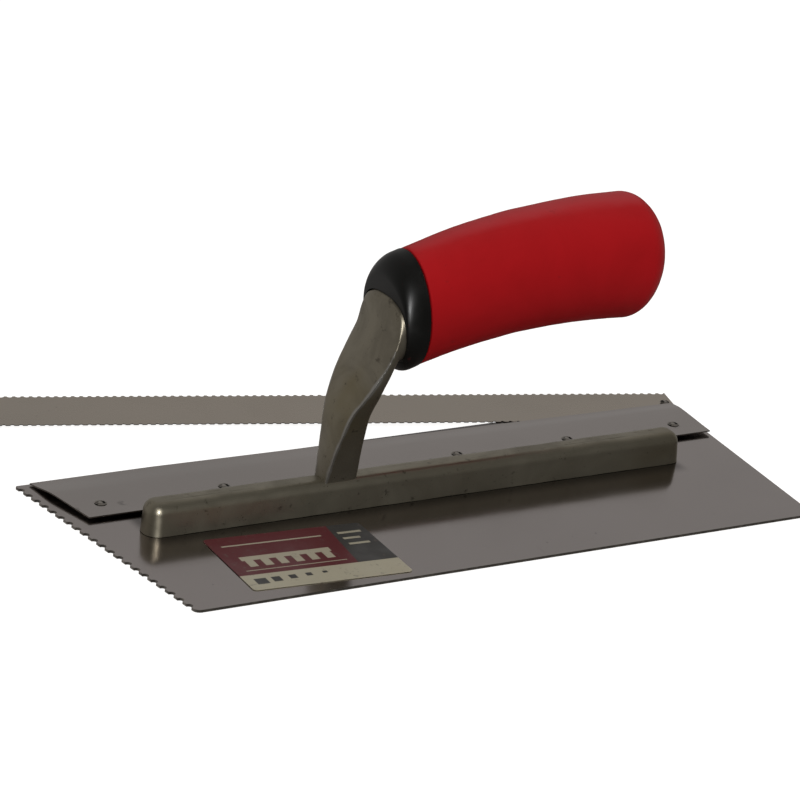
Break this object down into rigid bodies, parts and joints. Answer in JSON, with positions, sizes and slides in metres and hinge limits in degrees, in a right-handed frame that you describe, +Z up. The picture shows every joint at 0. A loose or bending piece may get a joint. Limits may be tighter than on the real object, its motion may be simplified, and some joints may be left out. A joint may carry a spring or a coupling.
{
  "type": "notched trowel",
  "caption": "Hand trowel with a curved grip over a thin steel blade; a double-edged notched strip swings out from under a clamp plate on a corner pin.",
  "frame": {"origin": "on the blade's underside, at the middle of its length and depth", "axes": "+X along the blade, away from its notched end; +Y from the blade's front edge to its rear edge, where the strip is; +Z up, from the blade to the handle"},
  "size_m": [0.2824, 0.1958, 0.1082],
  "materials": {
    "blade_steel": "polished spring steel, fine scratches",
    "strip_steel": "satin spring steel, slightly yellowed",
    "plate_steel": "polished sheet steel",
    "bar_steel": "mill finish",
    "clamp_rivet_steel": "dull, dirt in the ring",
    "pin_steel": "dark, worn",
    "spine_alloy": "cast, tumbled, tarnished",
    "spine_rivet_steel": "ground flush",
    "shank_alloy": "cast, tumbled, tarnished",
    "core_plastic": "black, satin",
    "sleeve_rubber": "red, soft satin",
    "tang_steel": "zinc plated",
    "label_print": "printed film, red, black and cream fields"
  },
  "bodies": {
    "trowel": {"base_blade": "blade_steel", "clamp_plate": "plate_steel", "clamp_rivet_1": "clamp_rivet_steel", "clamp_rivet_2": "clamp_rivet_steel", "clamp_rivet_3": "clamp_rivet_steel", "clamp_rivet_4": "clamp_rivet_steel", "clamp_rivet_5": "clamp_rivet_steel", "clamp_rivet_6": "clamp_rivet_steel", "grip_sleeve": "sleeve_rubber", "handle_core": "core_plastic", "label_plate": "label_print", "shank": "shank_alloy", "spacer_bar": "bar_steel", "spine": "spine_alloy", "spine_rivet_1": "spine_rivet_steel", "spine_rivet_2": "spine_rivet_steel", "spine_rivet_3": "spine_rivet_steel", "spine_rivet_4": "spine_rivet_steel", "spine_rivet_5": "spine_rivet_steel", "spine_rivet_6": "spine_rivet_steel", "strip_pivot_pin": "pin_steel", "tang_nut": "tang_steel", "tang_rod": "tang_steel", "tang_washer": "tang_steel"},
    "strip": {"notched_strip": "strip_steel"}
  },
  "joints": [
    {"name": "strip_swing", "type": "hinge", "parent": "trowel", "child": "strip", "pos_m": [0.1362, 0.0513, 0.0015], "axis": [0, 0, 1], "range_deg": [-73.8, 16.2]}
  ]
}
